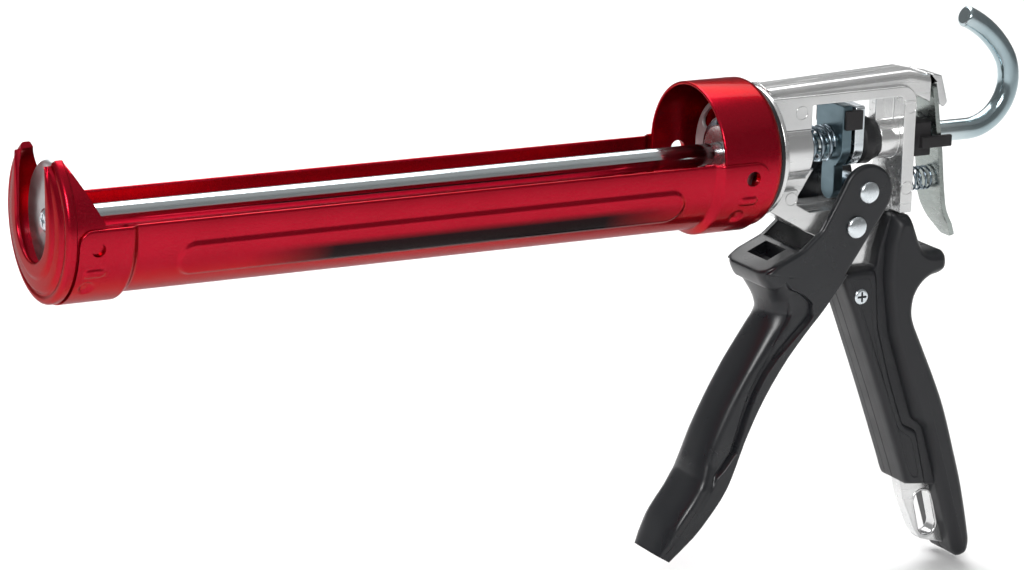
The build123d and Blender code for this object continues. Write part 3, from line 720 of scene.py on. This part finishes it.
def arc_through(a, b, c, steps=24):
    """Points on the circle through three points, from the first by way of the second to the last."""
    a, b, c = (np.array(p, dtype=float) for p in (a, b, c))
    m = 2 * np.array([b - a, c - a])
    centre = np.linalg.solve(m, [b @ b - a @ a, c @ c - a @ a])
    turns = [np.arctan2(*(p - centre)[::-1]) for p in (a, b, c)]
    way = np.unwrap(turns)
    angle = np.linspace(way[0], way[2], steps)
    return [tuple(p) for p in centre + np.hypot(*(a - centre)) * np.stack([np.cos(angle), np.sin(angle)], axis=1)]


def flat_faced(piece):
    """Shades large flat faces flat and leaves the turn to the rounded edges."""
    piece.modifiers.new("flat faces", "WEIGHTED_NORMAL").keep_sharp = True
    return piece


def satin_black():
    """Satin black coat on the die-cast trigger, with a bluish sheen and a faint orange peel."""
    material, tree, shader = finish_nodes("satin_black", (0.01, 0.011, 0.013), 0.0, 0.3)
    shader.inputs["Specular IOR Level"].default_value = 0.5
    tree.links.new(spread(tree, noise(tree, 70), 0.25, 0.36), shader.inputs["Roughness"])
    tree.links.new(blend_colours(tree, noise(tree, 30), (0.008, 0.009, 0.011), (0.013, 0.014, 0.017)),
                   shader.inputs["Base Color"])
    bump(tree, shader, noise(tree, 1500, detail=2.0), 0.00002, 0.4)
    return material


def round_front_corners(mesh):
    """Draws the saddle's front back towards both sides, on a circle seen from above. The pull fades
    out to the rear, and what moves back rises along the saddle's slope."""
    spot = np.zeros(3 * len(mesh.vertices))
    mesh.vertices.foreach_get("co", spot)
    spot = spot.reshape(-1, 3) / MM
    aside = np.clip(np.abs(spot[:, 1]) - corner_start, 0, corner_radius - 0.01)
    back = corner_radius - np.sqrt(corner_radius ** 2 - aside ** 2)
    back = back * np.clip((pull_end - spot[:, 0]) / pull_length, 0, 1)
    spot[:, 0] += back
    spot[:, 2] += 0.5 * back * np.clip((spot[:, 2] + 46) / 3, 0, 1)
    mesh.vertices.foreach_set("co", (spot * MM).ravel())


coat_black = satin_black()
corner_start, corner_radius, pull_end, pull_length = 8.5, 6.5, 41.0, 15.5
saddle_line = [(26.4, -43.6), (31.0, -40.2), (41.2, -35.8), (49.4, -29.1), (54.5, -20.3)]
crown_line = arc_through((58.8, -12.4), (70.0, -6.1), (77.6, -22.0))
cheek_outline = saddle_line + crown_line + [(69.4, -33.6), (61.2, -45.4), (59.6, -48.6), (40.0, -46.6)]
cheek_edge = [(0.8, 12.4), (0.2, 12.6), (0.0, 13.1), (0.0, 13.9), (0.25, 14.55), (0.7, 14.88), (1.3, 15.0)]
cheeks = [plate(cheek_outline, [(inset, side * y) for inset, y in cheek_edge]) for side in (-1, 1)]
saddle_outline = [(25.0, -43.2), (31.0, -40.0), (41.4, -35.6), (45.5, -37.4), (33.5, -46.8), (28.6, -50.0),
                  (26.2, -46.2)]
saddle_edge = [(1.9, 14.96), (0.9, 14.7), (0.3, 14.0), (0.0, 13.2), (0.0, 12.3), (0.0, 11.4), (0.0, 10.4),
               (0.0, 9.3), (0.0, 8.0)]
window = close_grid("window", np.array([[(x, y, z) for x, y in ((31, -7), (39, -7), (39, 7), (31, 7))]
                                        for z in (-52.0, -28.0)], dtype=float))
saddle_edge = [(inset, -y) for inset, y in saddle_edge] + saddle_edge[::-1]
saddle = plate(saddle_outline, saddle_edge, 8)
round_front_corners(saddle)
saddle = cut(saddle, window)
trigger_mesh = joined("trigger_skin", close_grid("finger", finger()), saddle, *cheeks)
smooth(trigger_mesh, 40)
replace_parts(flat_faced(place(trigger_mesh, "trigger_skin", "trigger", coat_black)), "trigger")


dome_rise, dome_step, pole_radius = 1.8, 0.35, 0.02


def rivet(node, body, x, z, shank, head, grip):
    """A rivet across the gun: a profile of (y, radius) points carried round its axis, with a domed head
    (a quarter ellipse on a short step) at each end of its grip."""
    a = np.linspace(0, 0.5 * np.pi, 14)
    dome = np.stack([grip + dome_step + (dome_rise - dome_step) * np.sin(a), head * np.cos(a)], axis=1)
    half = np.concatenate([[(0.0, shank), (grip, shank), (grip, head)], dome])
    half[-1, 1] = pole_radius
    profile = np.concatenate([half[::-1] * (-1, 1), half[1:]])
    turn = np.linspace(0, 2 * np.pi, 48, endpoint=False)
    y = profile[:, :1] + 0 * turn
    points = np.stack([x + profile[:, 1:] * np.cos(turn), y, z + profile[:, 1:] * np.sin(turn)], axis=-1)
    mesh = close_grid(node + "_skin", points)
    smooth(mesh, 50)
    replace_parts(place(mesh, node + "_skin", body, bright_zinc), node)


rivet("roller_pin", "trigger", x=68.5, z=-16.3, shank=2.5, head=4.1, grip=15.0)
rivet("trigger_pivot_pin", "frame", x=63.6, z=-28.9, shank=3.0, head=4.1, grip=15.3)
broken_edges("drive_roller", "roller", steel_spring, 0.2)

# ---- Handle shells ----
# Two halves in textured black plastic close round the casting's core, held by one cross-recess
# screw and its nut. A deep groove parts the front panel from the thicker rear.
grip_black = moulded_black("grip_black", (0.014, 0.0145, 0.0165), 0.42, 2200, 0.00004)
front_line = [(95.2, -133.5), (92.6, -126.0), (87.0, -111.0), (81.5, -96.5), (69.0, -65.0), (66.0, -58.0),
              (61.7, -47.7)]
top_line = [(91.0, -28.2), (92.6, -31.2), (95.8, -39.2)]
rest_line = through([(95.8, -39.2), (97.8, -42.0), (100.8, -42.9), (104.4, -42.7), (107.0, -43.8), (108.0, -46.6),
                     (107.4, -50.2), (105.2, -51.9), (101.6, -52.6), (98.0, -54.6), (95.2, -58.2), (94.0, -62.6),
                     (94.6, -68.6), (99.6, -79.6), (105.6, -92.4), (110.8, -104.8), (116.2, -121.6),
                     (120.2, -135.0), (123.6, -149.6), (125.4, -158.5)], 110)[1:].tolist()
foot_line = [(124.6, -164.2), (120.8, -165.9), (118.2, -163.0), (115.6, -155.0)]
whole_outline = front_line + [(78.0, -47.4), (78.6, -41.0), (82.6, -28.6), (84.4, -27.2)] + top_line
whole_outline = whole_outline + rest_line + foot_line + [(110.5, -135.8)]
panel_outline = front_line + [(77.3, -47.6), (78.4, -52.0), (79.9, -70.0), (85.9, -90.2), (92.9, -109.2),
                              (99.2, -112.4), (104.9, -134.6)]
rear_outline = [(110.6, -140.0), (101.6, -111.6), (96.4, -107.6), (84.4, -73.6), (80.9, -52.0), (81.2, -38.0),
                (84.0, -27.6)] + top_line + rest_line + foot_line
base_edge = [(0.3, 0.0), (0.05, 0.25), (0.05, 6.4), (0.5, 7.5), (1.5, 8.0)]
panel_edge = [(0.6, 4.0), (0.0, 4.6), (0.0, 7.2), (0.35, 8.5), (1.0, 9.25), (1.8, 9.5), (3.0, 9.5), (3.25, 9.2)]
rear_edge = [(0.3, 0.0), (0.05, 0.25), (0.0, 7.8), (0.5, 9.3), (1.6, 11.2), (2.6, 12.15), (3.6, 12.5)]


screw_hole, hole_floor = (71.1, -57.4, 3.7), 8.02


def shell(side):
    """A grip half: a base on the whole outline, a front panel with a sunk field, and the thicker rear
    part, whose broad bevel falls to the groove between them. Screw and nut sit in a round hole."""
    node = "grip_shell_left" if side < 0 else "grip_shell_right"
    base, panel, rear = (plate(outline, [(inset, side * y) for inset, y in edge]) for outline, edge in
                         ((whole_outline, base_edge), (panel_outline, panel_edge), (rear_outline, rear_edge)))
    panel = cut(panel, rod_across(*screw_hole, side * hole_floor, side * 14))
    mesh = joined(node + "_skin", base, panel, rear)
    smooth(mesh, 40)
    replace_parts(flat_faced(place(mesh, node + "_skin", "frame", grip_black)), node)


shell(-1)
shell(1)
broken_edges("grip_screw", "frame", bright_zinc, 0.1)
broken_edges("grip_nut", "frame", bright_zinc, 0.15)

# ---- Release lever, guide and spring ----
# The thumb lever is a pressed zinc-plated plate that hangs in the casting's rear hook. A black
# moulded block guides the rod in front of it and a light coil spring pushes it back.
broken_edges("release_lever", "release", lever_zinc, 0.15)
broken_edges("release_guide", "frame", block_black, 0.5)
release_coil = coil(x0=91.1, x1=103.4, z=-17.0, turns=6, radius=4.1, wire=0.45)
spring("release_spring", release_coil)

# ---- Floor, light and camera ----
# A pale round studio floor, whose rim curves up into a wall, under three large soft boxes. The camera
# stands far off, at the front left and a little above.


def studio_floor():
    """A round floor whose rim curves up into a wall on a quarter circle, so that no edge shows."""
    turn = np.linspace(0, 2 * np.pi, 96, endpoint=False)
    rise = np.linspace(0, np.pi / 2, 18)
    flat, rim, wall_top, floor_z = 6500.0, 2500.0, 7000.0, -168.0
    radius = np.concatenate([[0.001], np.linspace(200, flat, 12), flat + rim * np.sin(rise[1:]), [flat + rim]])
    height = np.concatenate([np.zeros(13), rim * (1 - np.cos(rise[1:])), [wall_top]]) + floor_z
    points = np.stack([radius[:, None] * np.cos(turn), radius[:, None] * np.sin(turn),
                       height[:, None] + 0 * turn], axis=-1)
    rows, cols = points.shape[:2]
    first = (np.arange(rows - 1)[:, None] * cols + np.arange(cols)).ravel()
    after = (np.arange(rows - 1)[:, None] * cols + (np.arange(cols) + 1) % cols).ravel()
    faces = np.stack([first, first + cols, after + cols, after], axis=1)
    mesh = bpy.data.meshes.new("floor")
    mesh.from_pydata((points.reshape(-1, 3) * MM).tolist(), [], faces.tolist())
    smooth(mesh, 60)
    material, tree, shader = finish_nodes("pale_floor", (0.9, 0.9, 0.9), 0.0, 0.7)
    mesh.materials.append(material)
    floor = bpy.data.objects.new("floor", mesh)
    bpy.context.scene.collection.objects.link(floor)


def soft_light(name, place_at, aim, size, power):
    """A square soft box at a place, turned to face a point."""
    lamp = bpy.data.lights.new(name, "AREA")
    lamp.shape = "SQUARE"
    lamp.size = size
    lamp.energy = power
    holder = bpy.data.objects.new(name, lamp)
    bpy.context.scene.collection.objects.link(holder)
    holder.location = place_at
    holder.rotation_euler = (Vector(aim) - Vector(place_at)).to_track_quat("-Z", "Y").to_euler()


bpy.context.scene.view_settings.view_transform = "Standard"
studio_floor()
soft_light("backdrop", (0.35, 1.35, 1.35), (0.35, 1.25, 0), 1.9, 29)
soft_light("overhead", (0.0, 0.5, 1.1), (0.0, 0.45, 0), 0.9, 9.5)
soft_light("key", (-0.9, -1.25, 0.95), (-0.05, 0, 0), 0.6, 18)
world = bpy.data.worlds.new("studio")
bpy.context.scene.world = world
world.use_nodes = True
sky = world.node_tree
direction = sky.nodes.new("ShaderNodeTexCoord")
parts = sky.nodes.new("ShaderNodeSeparateXYZ")
sky.links.new(direction.outputs["Generated"], parts.inputs["Vector"])
sky.links.new(spread(sky, parts.outputs["Z"], 0.05, 0.36, 0.1, 0.8), sky.nodes["Background"].inputs["Strength"])
sky.nodes["Background"].inputs["Color"].default_value = (1, 1, 1, 1)

focal_length = 3800 / 1024 * 36.0
eye = (-0.68119, -1.13977, 0.30683)
right, up, back = (0.8840, -0.4671, 0.0228), (0.1017, 0.2396, 0.9656), (-0.4564, -0.8512, 0.2593)
lens = bpy.data.cameras.new("camera")
lens.sensor_width = 36.0
lens.lens = focal_length
lens.clip_start = 0.05
camera = bpy.data.objects.new("camera", lens)
bpy.context.scene.collection.objects.link(camera)
camera.matrix_world = Matrix.Translation(eye) @ Matrix((right, up, back)).transposed().to_4x4()
bpy.context.scene.camera = camera
